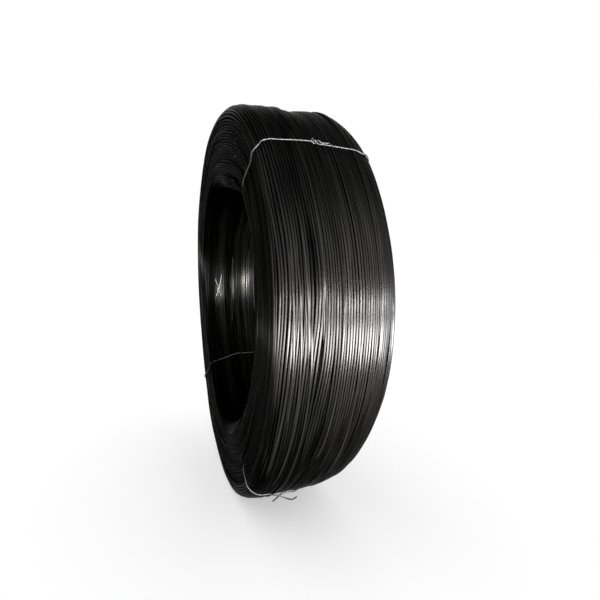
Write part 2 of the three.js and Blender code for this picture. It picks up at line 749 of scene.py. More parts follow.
@dataclass(frozen=True)
class RimShade:
    """Painted shade on the rim: its tone is taken away at its left edge and partly on its underside.

    Attributes:
        edge: where along X the painted shade of the left edge gives way.
        inward: how much further from the edge it reaches at the middle angle.
        middle: angle where it reaches furthest from the edge.
        spread: how far round from there this falls back.
        fade: width of the change from shaded to plain.
        underside: share of the brightness that painted shade takes from the underside.
        underside_from: angle below the level at which the underside's painted shade begins.
        underside_over: angle over which it comes in.
    """

    edge: float = -0.130
    inward: float = 0.020
    middle: float = math.radians(-48.0)
    spread: float = math.radians(30.0)
    fade: float = 0.006
    underside: float = 0.72
    underside_from: float = math.radians(12.0)
    underside_over: float = math.radians(22.0)

    def __call__(self, x: np.ndarray, angle: np.ndarray) -> np.ndarray:
        """Finds how much of the rim's tone the painted shade leaves.

        Args:
            x: places along X.
            angle: angle of each place about the axis.

        Returns:
            1 where no shade is painted, less on the underside, and 0 at the left edge.
        """
        away = wrapped(angle - self.middle, TURN)
        line = self.edge + self.inward * np.exp(-((away / self.spread) ** 2))
        below = np.abs(wrapped(angle + math.pi / 2, TURN))
        lift = (math.pi / 2 - self.underside_from - below) / self.underside_over
        # Painted shade: the underside keeps only part of its tone, and the left edge none.
        unshaded = 1.0 - self.underside * smooth_step(lift)
        return unshaded * smooth_step((x - line) / self.fade + 0.5)


def grouped_turns() -> dict[Region, Bundles]:
    """Sets how the turns are grouped.

    Returns:
        The turns on each side of the section.
    """
    return {
        Region.RIM: Bundles(
            seed=11,
            turns=52.0,
            under_turns=50.0,
            splits={1: 4.0, 2: 3.4, 5: 3.0, 7: 1.8, 10: 4.0, 11: 1.4, 13: 2.6, 16: 3.0, 20: 3.4,
                    24: 1.4, 28: 2.0, 33: 3.6, 37: 1.2, 41: 2.4, 45: 2.0, 48: 1.2},
            lifts={0: 0.001, 2: 0.0025, 5: 0.003, 8: 0.0015, 11: 0.003, 14: 0.0010, 16: 0.0025,
                   19: -0.003, 22: -0.007, 25: -0.0085, 28: -0.006, 31: -0.004, 36: -0.001,
                   42: 0.001},
            contrast=0.7,
            # Painted highlight and painted shade: the tones are lowest at the left edge, where the rim
            # lies in shade, and highest where the lamps' highlight is brightest.
            shades={0: 0.04, 1: 0.10, 2: 0.46, 5: 0.42, 12: 0.36, 14: 0.50, 17: 0.58, 21: 0.66,
                    27: 0.60, 38: 0.52},
        ),
        Region.LEFT_END: Bundles(
            seed=23,
            turns=19.0,
            under_turns=19.0,
            splits={2: 1.0, 5: 1.4, 8: 0.9, 11: 1.3, 15: 1.2, 18: 1.6},
            lifts={0: 0.0, 5: 0.001, 8: -0.001, 12: 0.001, 15: -0.001},
            swell=0.0010,
            uneven=0.0004,
        ),
        Region.RIGHT_END: Bundles(
            seed=37,
            turns=13.0,
            under_turns=12.6,
            splits={2: 1.5, 4: 1.2, 7: 2.0, 10: 1.5},
            lifts={0: 0.0, 4: 0.001, 7: -0.001, 10: 0.0},
            swell=0.0012,
        ),
        Region.BORE: Bundles(
            seed=51,
            turns=52.0,
            under_turns=49.0,
            splits={4: 1.6, 9: 2.0, 15: 5.0, 20: 1.5, 25: 5.0, 31: 1.6, 36: 5.0, 43: 2.0, 48: 1.5},
            lifts={0: 0.0, 15: 0.001, 25: -0.001, 36: 0.001, 43: 0.0},
            swell=0.0010,
            # Painted highlight: the brighter laps are set where the lamps' highlight falls in the bore.
            shades={0: 0.05, 21: 0.10, 24: 0.22, 25: 0.10, 26: 0.28, 27: 0.12, 28: 0.02, 30: 0.16,
                    32: 0.02, 38: 0.16, 41: 0.04, 44: 0.02, 47: 0.05},
            contrast=0.08,
        ),
    }


def crossing_turns() -> tuple[Crosser, ...]:
    """Sets out the loose turns that cross over their neighbours.

    Returns:
        The loose turns.
    """
    rim, left, right, bore = Region.RIM, Region.LEFT_END, Region.RIGHT_END, Region.BORE
    # Each: region, start and span in degrees, leave and join as shares, rise, shade.
    return (
        Crosser(rim, -40.0, 66.0, 0.215, 0.165, 0.60, 0.75),
        Crosser(rim, -62.0, 78.0, 0.185, 0.225, 0.70, 0.65),
        Crosser(rim, -30.0, 54.0, 0.155, 0.130, 0.50, 0.65),
        Crosser(rim, -52.0, 60.0, 0.100, 0.140, 0.60, 0.65),
        Crosser(rim, -18.0, 52.0, 0.245, 0.205, 0.60, 0.8),
        Crosser(rim, -70.0, 80.0, 0.290, 0.250, 0.50, 0.7),
        Crosser(rim, -5.0, 66.0, 0.340, 0.300, 0.50, 0.7),
        Crosser(rim, -48.0, 70.0, 0.430, 0.465, 0.50, 0.8),
        Crosser(rim, 4.0, 60.0, 0.520, 0.480, 0.50, 0.6),
        Crosser(rim, -60.0, 66.0, 0.600, 0.570, 0.40, 0.8),
        Crosser(rim, -25.0, 60.0, 0.700, 0.735, 0.40, 0.9),
        Crosser(rim, -35.0, 50.0, 0.860, 0.830, 0.40, 1.0),
        Crosser(rim, 96.0, 60.0, 0.300, 0.360),
        Crosser(rim, 120.0, 70.0, 0.620, 0.560),
        Crosser(rim, 170.0, 74.0, 0.520, 0.450),
        Crosser(rim, 190.0, 66.0, 0.250, 0.190),
        Crosser(rim, 215.0, 60.0, 0.780, 0.840),
        Crosser(left, 54.0, 66.0, 0.45, 0.68, 0.15, 0.5),
        Crosser(left, 78.0, 60.0, 0.72, 0.50, 0.20, 0.5),
        Crosser(left, 96.0, 66.0, 0.60, 0.80, 0.15, 0.5),
        Crosser(left, 150.0, 64.0, 0.30, 0.70),
        Crosser(left, -70.0, 60.0, 0.62, 0.22),
        Crosser(left, 230.0, 60.0, 0.62, 0.22),
        Crosser(right, 20.0, 60.0, 0.25, 0.75),
        Crosser(right, 120.0, 64.0, 0.80, 0.35),
        Crosser(right, 240.0, 60.0, 0.30, 0.70),
        Crosser(right, 300.0, 64.0, 0.70, 0.25),
        Crosser(bore, 150.0, 58.0, 0.62, 0.66, 0.3, 0.12),
        Crosser(bore, 140.0, 66.0, 0.42, 0.37, 0.3, 0.16),
        # Painted highlight: short loose turns of high tone set where the bore's highlight falls.
        Crosser(bore, 166.0, 20.0, 0.74, 0.81, 0.5, 0.9),
        Crosser(bore, 169.0, 18.0, 0.84, 0.75, 0.5, 0.9),
        Crosser(bore, 172.0, 15.0, 0.78, 0.83, 0.6, 1.0),
        Crosser(bore, 10.0, 60.0, 0.40, 0.55, 0.5, 0.15),
        Crosser(bore, 270.0, 60.0, 0.60, 0.45, 0.5, 0.15),
    )


@dataclass
class Winding:
    """The coil's wire: two skins of turns all round the section.

    Attributes:
        section: the winding's section.
        slump: how it departs from a true ring.
        rim_shade: painted shade that darkens the rim's tone at its left edge and underside.
        steps: points on a lap of the outer skin.
        under_steps: points on a lap of the lower skin.
        sides: sides of the outer skin's wire.
        under_sides: sides of the lower skin's wire.
        seam: angle where the runs of turns begin.
        under_depth: how far the lower skin lies under the outer one, in wire diameters.
        bore_painted_highlights: painted highlights added to the bore's tone, and where.
        end_painted_light: painted highlight and painted shade added to the left end's tone, and where.
        crosser_step: degrees between the points of a loose turn.
        crosser_ease: share of a smooth rise at which its way across starts, and the share of it
            that it covers.
        crosser_dive: share of its length over which it comes up, and over which it dives.
        bundles: how the turns are grouped on each side of the section.
        crossers: the loose turns.
    """

    section: WindingSection
    slump: Slump
    rim_shade: RimShade = RimShade()
    steps: int = 168
    under_steps: int = 120
    sides: int = 8
    under_sides: int = 6
    seam: float = math.radians(-118.0)
    under_depth: float = 0.92
    # Painted highlights: patches of high tone where the lamps' highlight falls on the back of the bore.
    bore_painted_highlights: tuple[Patch, ...] = (
        Patch(0.008, 175.0, 0.010, 7.0, 0.9),
        Patch(0.015, 168.0, 0.014, 9.0, 0.35),
        Patch(-0.034, 179.0, 0.005, 5.0, 0.75),
        Patch(-0.079, 182.5, 0.012, 5.0, 0.8),
        Patch(-0.124, 166.0, 0.010, 5.0, 0.24),
    )
    # Painted highlight and painted shade on the left end: sheen at 165.5, -4 and 62 degrees, shade at 6,
    # 118 and 275 degrees.
    end_painted_light: tuple[Patch, ...] = (
        Patch(-0.134, 165.5, 0.05, 4.5, 13.0),
        Patch(-0.134, 6.0, 0.05, 30.0, -0.9),
        Patch(-0.134, -4.0, 0.05, 4.0, 1.2),
        Patch(-0.134, 62.0, 0.05, 22.0, 1.2),
        Patch(-0.134, 118.0, 0.05, 24.0, -0.8),
        Patch(-0.134, 275.0, 0.05, 28.0, -0.8),
    )
    crosser_step: float = 1.6
    crosser_ease: tuple[float, float] = (0.15, 0.7)
    crosser_dive: float = 0.3
    bundles: dict[Region, Bundles] = field(default_factory=grouped_turns)
    crossers: tuple[Crosser, ...] = field(default_factory=crossing_turns)

    # ---- laying ----

    def lay(self, region: Region, under: bool, seed: int) -> WireRun:
        """Lays one helical run of turns over a region.

        Args:
            region: the side of the section that the turns cover.
            under: whether it is the lower skin, which winds the other way.
            seed: seed of the wire's tones.

        Returns:
            The run.
        """
        inset = WIRE_D * (0.5 + (self.under_depth if under else 0.0))
        outline = self.section.outline(inset)
        low, high = outline.spans[region]
        group = self.bundles[region]
        turns = group.under_turns if under else group.turns
        steps = self.under_steps if under else self.steps
        t = np.linspace(0.0, turns, int(round(turns * steps)) + 1)
        angle = self.seam + (-TURN if under else TURN) * t
        lap = t * group.turns / turns
        s = low + WIRE_D * t + group.gaps(lap, angle, high - low - turns * WIRE_D)
        height = group.height(lap, angle)
        if not under:
            height += group.own_height(t, angle)
        run = self._run(outline, s, height, angle, t, group.tone(lap, seed), inset)
        # Painted shade: the rim's tone is darkened at its left edge and on its underside.
        if region is Region.RIM:
            run.tone *= self.rim_shade(run.points[:, 0], angle)
        # Painted highlight and painted shade: patches added to the tone of the bore and the left end.
        painted_patches = {Region.BORE: self.bore_painted_highlights, Region.LEFT_END: self.end_painted_light}
        run.tone += sum(painted_patch(run.points[:, 0], angle) for painted_patch in painted_patches.get(region, ()))
        return run

    def _run(self, outline: Outline, s: np.ndarray, height: np.ndarray, angle: np.ndarray,
             t: np.ndarray, tone: np.ndarray, rest: float) -> WireRun:
        """Turns places over an outline into a run of wire in space.

        Args:
            outline: the line that s is measured along.
            s: lengths along it.
            height: distance of each point out from the line.
            angle: angle of each point about the axis.
            t: laps of wire before each point.
            tone: tone of each point.
            rest: lowest height that a point may have over the floor.

        Returns:
            The run.
        """
        out = outline.outward(s)
        flat = outline.place(s) + height[:, None] * out
        points = self.slump.to_space(flat, angle, rest)
        return WireRun(points, turned(out, angle), t, tone, WIRE_D / 2)

    def relief(self, s: np.ndarray, angle: np.ndarray) -> np.ndarray:
        """Finds how far the turns stand out from the plain outline.

        Args:
            s: lengths along the plain outline.
            angle: angle of each place about the axis.

        Returns:
            The heights.
        """
        outline = self.section.outline(0.0)
        s = np.mod(s, outline.length)
        height = np.zeros_like(s)
        for region, (low, high) in outline.spans.items():
            group = self.bundles[region]
            t = np.clip((s - low) / (high - low), 0.0, 1.0) * group.turns
            own = group.height(t, angle) + group.own_height(t, angle)
            height = np.where((s >= low) & (s < high), own, height)
        return height

    def cross(self, crosser: Crosser) -> WireRun:
        """Lays one loose turn over its neighbours.

        Args:
            crosser: the loose turn.

        Returns:
            Its run.
        """
        inset = WIRE_D / 2
        outline = self.section.outline(inset)
        low, high = outline.spans[crosser.region]
        group = self.bundles[crosser.region]
        q = np.linspace(0.0, 1.0, int(crosser.span / self.crosser_step) + 1)
        angle = np.radians(crosser.start + crosser.span * q)
        ease_from, ease_over = self.crosser_ease
        across = smooth_step(ease_from + ease_over * q)
        u = crosser.leave + (crosser.join - crosser.leave) * across
        s = low + u * (high - low)
        ride = smooth_step(q / self.crosser_dive) * smooth_step((1.0 - q) / self.crosser_dive)
        height = group.height(u * group.turns, angle)
        height += WIRE_D * (-1.0 + (1.0 + crosser.rise) * ride)
        tone = np.full(len(q), crosser.shade)
        return self._run(outline, s, height, angle, TubeMesh.STRIP_FILL * q, tone, inset)

    # ---- pieces ----

    def skin(self, name: str, region: Region, seed: int, under: bool = False) -> bpy.types.Object:
        """Builds one run of turns as a piece.

        Args:
            name: the piece's name.
            region: the side of the section that it covers.
            seed: seed of its tones.
            under: whether it is the lower skin.

        Returns:
            The new object.
        """
        tubes = TubeMesh(self.under_sides if under else self.sides)
        tubes.add(self.lay(region, under, seed))
        return tubes.build(name)

    def loose_turns(self, name: str, *regions: Region) -> bpy.types.Object:
        """Builds the turns that cross over the others as one piece.

        Args:
            name: the piece's name.
            regions: the sides of the section whose loose turns it holds.

        Returns:
            The new object.
        """
        tubes = TubeMesh(self.sides)
        for crosser in self.crossers:
            if crosser.region in regions:
                tubes.add(self.cross(crosser))
        return tubes.build(name)

    def rim_pieces(self) -> list[bpy.types.Object]:
        """Builds the rim's turns, which main gives the lit copy of the wire's colour."""
        return [
            self.skin("rim_turns", Region.RIM, seed=101),
            self.loose_turns("rim_loose_turns", Region.RIM),
        ]

    def bore_pieces(self) -> list[bpy.types.Object]:
        """Builds the turns that line the bore."""
        return [
            self.skin("bore_turns", Region.BORE, seed=131),
            self.loose_turns("bore_loose_turns", Region.BORE),
        ]

    def end_pieces(self) -> list[bpy.types.Object]:
        """Builds the turns of both ends, and the lower skins."""
        return [
            self.skin("left_end_turns", Region.LEFT_END, seed=107),
            self.skin("right_end_turns", Region.RIGHT_END, seed=113),
            self.loose_turns("end_loose_turns", Region.LEFT_END, Region.RIGHT_END),
            self.skin("rim_under_turns", Region.RIM, seed=103, under=True),
            self.skin("left_end_under_turns", Region.LEFT_END, seed=109, under=True),
            self.skin("right_end_under_turns", Region.RIGHT_END, seed=127, under=True),
            self.skin("bore_under_turns", Region.BORE, seed=137, under=True),
        ]


@dataclass(frozen=True)
class WindingCore:
    """The plain ring of revolution inside the winding, which closes the view between its turns.

    Attributes:
        section: the winding's section.
        depth: how far the ring lies inside the rim and the two ends.
        bore_depth: how far it lies outside the bore.
        edge: bevel of its edges, but for the next one.
        far_edge: bevel of the edge between the rim and the right end.
        bevel_parts: flats of each bevel.
        steps: flats round the axis.
        merged: distance below which two corners are one.
    """

    section: WindingSection
    depth: float = 3.7 * WIRE_D
    bore_depth: float = 5.5 * WIRE_D
    edge: float = 0.005
    far_edge: float = 0.052
    bevel_parts: int = 5
    steps: int = 96
    merged: float = 1e-5

    def build(self) -> bpy.types.Object:
        """Builds the ring as one piece: its section is bevelled and then spun round the axis.

        Returns:
            The new object.
        """
        section = self.section
        axis = section.rim_radius
        inner, outer = section.bore_radius + self.bore_depth, section.rim_radius - self.depth
        middle = axis + (inner + outer) / 2
        half_size = (section.width / 2 - self.depth, 1.0, (outer - inner) / 2)
        bpy.ops.mesh.primitive_plane_add(location=(0.0, 0.0, middle), rotation=(math.pi / 2, 0.0, 0.0))
        core = bpy.context.active_object
        core.name = "winding_core"
        core.data.name = "winding_core"
        bpy.ops.object.transform_apply(location=True, rotation=True, scale=True)
        bpy.ops.object.mode_set(mode="EDIT")
        bpy.ops.transform.resize(value=half_size, center_override=(0.0, 0.0, middle))
        for far, bevel in ((True, self.far_edge), (False, self.edge)):
            self._select_corners(core, middle, far)
            bpy.ops.mesh.bevel(offset=bevel, segments=self.bevel_parts, affect="VERTICES")
        bpy.ops.mesh.select_all(action="SELECT")
        bpy.ops.mesh.delete(type="ONLY_FACE")
        bpy.ops.mesh.select_all(action="SELECT")
        bpy.ops.mesh.spin(steps=self.steps, angle=TURN, center=(0.0, 0.0, axis), axis=(1.0, 0.0, 0.0))
        bpy.ops.mesh.select_all(action="SELECT")
        bpy.ops.mesh.remove_doubles(threshold=self.merged)
        bpy.ops.mesh.normals_make_consistent(inside=False)
        bpy.ops.mesh.select_all(action="DESELECT")
        bpy.ops.object.mode_set(mode="OBJECT")
        return core

    def _select_corners(self, core: bpy.types.Object, middle: float, far: bool) -> None:
        """Selects corners of the ring's section, in edit mode.

        Args:
            core: the ring, not spun yet.
            middle: height of its section's middle.
            far: whether to select those by the rim and the right end, or all the others.
        """
        bpy.ops.mesh.select_all(action="DESELECT")
        bpy.ops.object.mode_set(mode="OBJECT")
        for corner in core.data.vertices:
            corner.select = (corner.co.x > 0.0 and corner.co.z > middle) == far
        bpy.ops.object.mode_set(mode="EDIT")


# --------------------------------------------------------------------------------------
# Ties
# --------------------------------------------------------------------------------------


class Knot(Enum):
    """How a tie's two ends are fastened."""

    HOOKED_TWIST = "twisted along the rim, with one end hooked up"
    CROSSED_ENDS = "crossed once and left standing off"
    PIGTAIL = "twisted together and standing out"


def flowing(points: list[Point], spacing: float) -> np.ndarray:
    """Draws a smooth line through given points.

    Args:
        points: the points that the line goes through.
        spacing: about how far apart the new points are.

    Returns:
        The line's points.
    """
    p = np.array(points)
    p = np.vstack([2 * p[0] - p[1], p, 2 * p[-1] - p[-2]])
    out = []
    for a, b, c, d in zip(p, p[1:], p[2:], p[3:]):
        n = max(2, int(round(float(np.linalg.norm(c - b)) / spacing)))
        q = np.arange(n)[:, None] / n
        out.append(0.5 * (2 * b + (c - a) * q + (2 * a - 5 * b + 4 * c - d) * q**2
                          + (3 * b - a - 3 * c + d) * q**3))
    return np.vstack(out + [p[-2:-1]])


@dataclass(frozen=True)
class Lean:
    """A stretch along X where a tie slants.

    Attributes:
        start: where the stretch starts.
        over: its length.
        degrees: how far round the axis the tie gets over it, in degrees.
    """

    start: float
    over: float
    degrees: float

    def __call__(self, x: np.ndarray) -> np.ndarray:
        """Returns the degrees gained by the places x."""
        return self.degrees * smooth_step((x - self.start) / self.over)


@dataclass
class KnotEnds:
    """The two ends of a tie's wire, as (x, height over the rim, sideways) points.

    Attributes:
        before: the end that comes before the loop, from its tip.
        after: the end that comes after the loop, up to its tip.
        leave: where along X the loop leaves the knot, towards +X.
        arrive: where along X the loop comes back, from -X.
    """

    before: np.ndarray
    after: np.ndarray
    leave: float
    arrive: float


@dataclass
class TieWire:
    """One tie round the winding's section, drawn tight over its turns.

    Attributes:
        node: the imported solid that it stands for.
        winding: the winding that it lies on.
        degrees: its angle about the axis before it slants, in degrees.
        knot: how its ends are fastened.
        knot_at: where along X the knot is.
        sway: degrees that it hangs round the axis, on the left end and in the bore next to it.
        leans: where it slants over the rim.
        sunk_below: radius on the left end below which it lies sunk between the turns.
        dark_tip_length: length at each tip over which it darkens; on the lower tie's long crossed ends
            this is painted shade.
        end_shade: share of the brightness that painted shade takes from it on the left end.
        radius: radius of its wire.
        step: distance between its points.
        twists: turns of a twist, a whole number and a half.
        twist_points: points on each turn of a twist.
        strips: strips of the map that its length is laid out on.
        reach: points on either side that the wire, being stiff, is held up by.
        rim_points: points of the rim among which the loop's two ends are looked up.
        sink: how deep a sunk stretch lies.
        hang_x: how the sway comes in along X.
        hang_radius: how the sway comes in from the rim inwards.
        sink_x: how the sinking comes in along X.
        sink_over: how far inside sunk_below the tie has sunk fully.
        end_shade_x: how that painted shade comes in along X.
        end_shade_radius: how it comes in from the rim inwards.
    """

    node: str
    winding: Winding
    degrees: float
    knot: Knot
    knot_at: float
    sway: float = 0.0
    leans: tuple[Lean, ...] = ()
    sunk_below: float = 0.0
    dark_tip_length: float = 0.003
    end_shade: float = 0.65
    radius: float = TIE_D / 2
    step: float = 0.0025
    twists: float = 1.5
    twist_points: int = 12
    strips: int = 8
    reach: int = 7
    rim_points: int = 400
    sink: float = 1.6 * WIRE_D
    hang_x: Ramp = Ramp(-0.03, -0.10)
    hang_radius: Ramp = Ramp(0.47, -0.1)
    sink_x: Ramp = Ramp(-0.06, -0.03)
    sink_over: float = 0.02
    end_shade_x: Ramp = Ramp(-0.10, -0.02)
    end_shade_radius: Ramp = Ramp(0.49, -0.04)

    # ---- knots ----

    def _twist_steps(self) -> np.ndarray:
        """Returns the shares of a twist's length at which it has points."""
        return np.linspace(0.0, 1.0, int(round(self.twists * self.twist_points)) + 1)

    def _hooked_twist(self) -> KnotEnds:
        """Twists the ends along the rim, hooks one of them up and lays the other down.

        Returns:
            The two ends.
        """
        k, r, length = self.knot_at, self.radius, 0.012
        q = self._twist_steps()
        turn = -math.pi / 2 + TURN * self.twists * q
        arriving, leaving = (
            np.stack([k + length * q, 2 * r + r * np.sin(turn + phase), r * np.cos(turn + phase)], 1)
            for phase in (0.0, math.pi)
        )
        d = 2 * r
        hook = [(k + 0.0030, 2.0 * d, 0.0050), (k + 0.0020, 2.5 * d, 0.0075),
                (k - 0.0005, 2.5 * d, 0.0080), (k - 0.0022, 2.1 * d, 0.0055),
                (k - 0.0018, 1.7 * d, 0.0022), tuple(leaving[0])]
        tip = [tuple(arriving[-1]), (k + 0.0155, 0.0026, -0.0024), (k + 0.0200, 0.0019, -0.0034),
               (k + 0.0270, 0.0019, -0.0036), (k + 0.0320, 0.0022, -0.0042),
               (k + 0.0345, 0.0030, -0.0066), (k + 0.0352, 0.0036, -0.0096)]
        before = np.vstack([flowing(hook, self.step / 2)[:-1], leaving])
        after = np.vstack([arriving[:-1], flowing(tip, self.step / 2)])
        return KnotEnds(before, after, k + length, k)

    def _crossed_ends(self) -> KnotEnds:
        """Crosses the ends once and lets both stand off the rim.

        Returns:
            The two ends.
        """
        k, lying = self.knot_at, self.radius
        first = [(k - 0.0180, 0.0125, 0.0010), (k - 0.0120, 0.0105, 0.0018),
                 (k - 0.0060, 0.0080, 0.0016), (k + 0.0010, 0.0050, 0.0),
                 (k + 0.0070, 0.0028, -0.0012), (k + 0.0140, lying, 0.0)]
        second = [(k - 0.0100, lying, 0.0), (k - 0.0045, 0.0030, 0.0004),
                  (k + 0.0010, 0.0082, 0.0014), (k + 0.0085, 0.0122, 0.0016),
                  (k + 0.0180, 0.0168, 0.0002), (k + 0.0290, 0.0190, -0.0016),
                  (k + 0.0400, 0.0150, -0.0026)]
        before, after = flowing(first, self.step), flowing(second, self.step)
        return KnotEnds(before, after, k + 0.014, k - 0.010)

    def _pigtail(self) -> KnotEnds:
        """Turns both ends up off the rim and twists them together.

        Returns:
            The two ends.
        """
        k, r = self.knot_at, self.radius
        length, foot, bend, bend_height = 0.016, 0.0055, 0.0022, 0.004
        q = self._twist_steps()
        ends = []
        for side in (1.0, -1.0):
            x = k + side * r * np.cos(TURN * self.twists * q)
            sideways = side * r * np.sin(TURN * self.twists * q)
            start = np.array([[k + side * foot, r, 0.0], [k + side * bend, bend_height / 2, 0.0]])
            ends.append(np.vstack([start, np.stack([x, bend_height + length * q, sideways], 1)]))
        return KnotEnds(ends[0][::-1], ends[1], k + foot, k - foot)

    def _ends(self) -> KnotEnds:
        """Shapes the two ends of the wire.

        Returns:
            The two ends, as this tie's knot has them.
        """
        shapes = {
            Knot.HOOKED_TWIST: self._hooked_twist,
            Knot.CROSSED_ENDS: self._crossed_ends,
            Knot.PIGTAIL: self._pigtail,
        }
        return shapes[self.knot]()

    # ---- loop ----

    def _slant(self, x: np.ndarray) -> np.ndarray:
        """Returns the degrees gained over the rim up to the places x."""
        return sum((lean(x) for lean in self.leans), np.zeros_like(x))

    def _angle(self, line: np.ndarray) -> np.ndarray:
        """Finds where the wire runs: slanted over the rim, and straight through the bore.

        Args:
            line: (x, radius) points of the wire.

        Returns:
            Their angles about the axis.
        """
        section = self.winding.section
        half = section.width / 2
        x = np.clip(line[:, 0], -half, half)
        low, high = self._slant(np.array([-half, half]))
        straight = low + (high - low) * (x / section.width + 0.5)
        inside = line[:, 1] < (section.rim_radius + section.bore_radius) / 2
        hang = self.hang_x(x) * self.hang_radius(line[:, 1])
        gained = np.where(inside, straight, self._slant(x))
        return np.radians(self.degrees + self.sway * hang + gained)

    def _held_up(self, raw: np.ndarray) -> np.ndarray:
        """Finds how high the stiff wire lies over turns of different heights.

        Args:
            raw: height of the turns under each of its points.

        Returns:
            Height of the wire's underside at each point.
        """
        padded = np.pad(raw, self.reach, mode="edge")
        highest = np.max([padded[i:i + len(raw)] for i in range(2 * self.reach + 1)], axis=0)
        bell = np.hanning(2 * self.reach + 3)[1:-1]
        padded = np.pad(highest, self.reach, mode="edge")
        return np.convolve(padded, bell / bell.sum(), mode="valid")

    def _loop(self, leave: float, arrive: float) -> tuple[np.ndarray, np.ndarray]:
        """Draws the wire tight round the section.

        Args:
            leave: where along X the loop leaves the knot, towards +X.
            arrive: where it comes back, from -X.

        Returns:
            Its (x, radius) points and their outward ways.
        """
        outline = self.winding.section.outline(0.0)
        low, high = outline.spans[Region.RIM]
        table = np.linspace(low, high, self.rim_points)
        along = outline.place(table)[:, 0]
        start = float(np.interp(leave, along, table))
        stop = float(np.interp(arrive, along, table)) + outline.length
        s = np.linspace(start, stop, int((stop - start) / self.step) + 1)
        line, out = outline.place(s), outline.outward(s)
        height = self._held_up(self.winding.relief(s, self._angle(line)))
        covered = self.sink_x(line[:, 0]) * Ramp(self.sunk_below, -self.sink_over)(line[:, 1])
        return line + (self.radius + height - self.sink * covered)[:, None] * out, out

    # ---- wire ----

    def _tone(self, points: np.ndarray, line: np.ndarray) -> np.ndarray:
        """Finds how bright the wire is.

        Args:
            points: its points in space, from tip to tip.
            line: the same points as (x, radius).

        Returns:
            0 at its darkened tips, lower where painted shade falls on the left end, and up to 1
            elsewhere.
        """
        from_tip = lengths(points)
        from_tip = np.minimum(from_tip, from_tip[-1] - from_tip)
        tone = Ramp(self.dark_tip_length / 2, self.dark_tip_length / 2)(from_tip)
        # Painted shade: the wire is darkened on the left end, which lies in shade.
        return tone * (1.0 - self.end_shade * (self.end_shade_x(line[:, 0]) * self.end_shade_radius(line[:, 1])))

    def run(self) -> WireRun:
        """Joins the knot's two ends and the loop.

        Returns:
            The whole wire from tip to tip.
        """
        winding = self.winding
        knot = self._ends()
        flat, flat_out = self._loop(knot.leave, knot.arrive)
        rim_out = np.array([0.0, 1.0])
        parts = []
        for end, foot in ((knot.before, flat[0]), (knot.after, flat[-1])):
            r = foot[1] + end[:, 1] - self.radius
            parts.append((np.stack([end[:, 0], r], 1), np.tile(rim_out, (len(end), 1)), end[:, 2]))
        parts.insert(1, (flat[1:-1], flat_out[1:-1], np.zeros(len(flat) - 2)))
        line, out, sideways = (np.concatenate([part[i] for part in parts]) for i in range(3))
        along = line.copy()
        along[:len(knot.before), 0] = knot.leave
        along[len(line) - len(knot.after):, 0] = knot.arrive
        angle = self._angle(along) + sideways / winding.section.rim_radius
        points = winding.slump.to_space(line, angle, self.radius)
        t = np.linspace(0.0, self.strips - 1 + TubeMesh.STRIP_FILL, len(points))
        return WireRun(points, turned(out, angle), t, self._tone(points, line), self.radius)

    def build(self) -> bpy.types.Object:
        """Builds the tie as one piece.

        Returns:
            The new object.
        """
        tubes = TubeMesh(self.winding.sides)
        tubes.add(self.run())
        return tubes.build(self.node.replace("tie", "tie_wire"))


# --------------------------------------------------------------------------------------
# Finishes
# --------------------------------------------------------------------------------------


def new_material(name: str) -> tuple[bpy.types.Material, bpy.types.NodeTree, bpy.types.Node]:
    """Makes a node material.

    Args:
        name: its name.

    Returns:
        The material, its node tree and its shader.
    """
    mat = bpy.data.materials.new(name)
    mat.use_nodes = True
    return mat, mat.node_tree, mat.node_tree.nodes["Principled BSDF"]


def wire_attribute(nt: bpy.types.NodeTree, name: str) -> bpy.types.NodeSocket:
    """Adds a node that reads one of the wires' stored numbers.

    Args:
        nt: the tree to add it to.
        name: name of the number, which is wire_tone or wire_length.

    Returns:
        The number's socket.
    """
    node = nt.nodes.new("ShaderNodeAttribute")
    node.attribute_name = name
    return node.outputs["Fac"]


def map_range(nt: bpy.types.NodeTree, value: bpy.types.NodeSocket, source: tuple[float, float],
              target: tuple[float, float], limited: bool = True) -> bpy.types.NodeSocket:
    """Adds a node that maps one range of numbers to another.

    Args:
        nt: the tree to add it to.
        value: the number that is mapped.
        source: the range that it comes from.
        target: the range that it is brought to.
        limited: whether the result stops at the ends of the target.

    Returns:
        The result's socket.
    """
    node = nt.nodes.new("ShaderNodeMapRange")
    node.inputs["From Min"].default_value, node.inputs["From Max"].default_value = source
    node.inputs["To Min"].default_value, node.inputs["To Max"].default_value = target
    node.clamp = limited
    nt.links.new(value, node.inputs["Value"])
    return node.outputs["Result"]


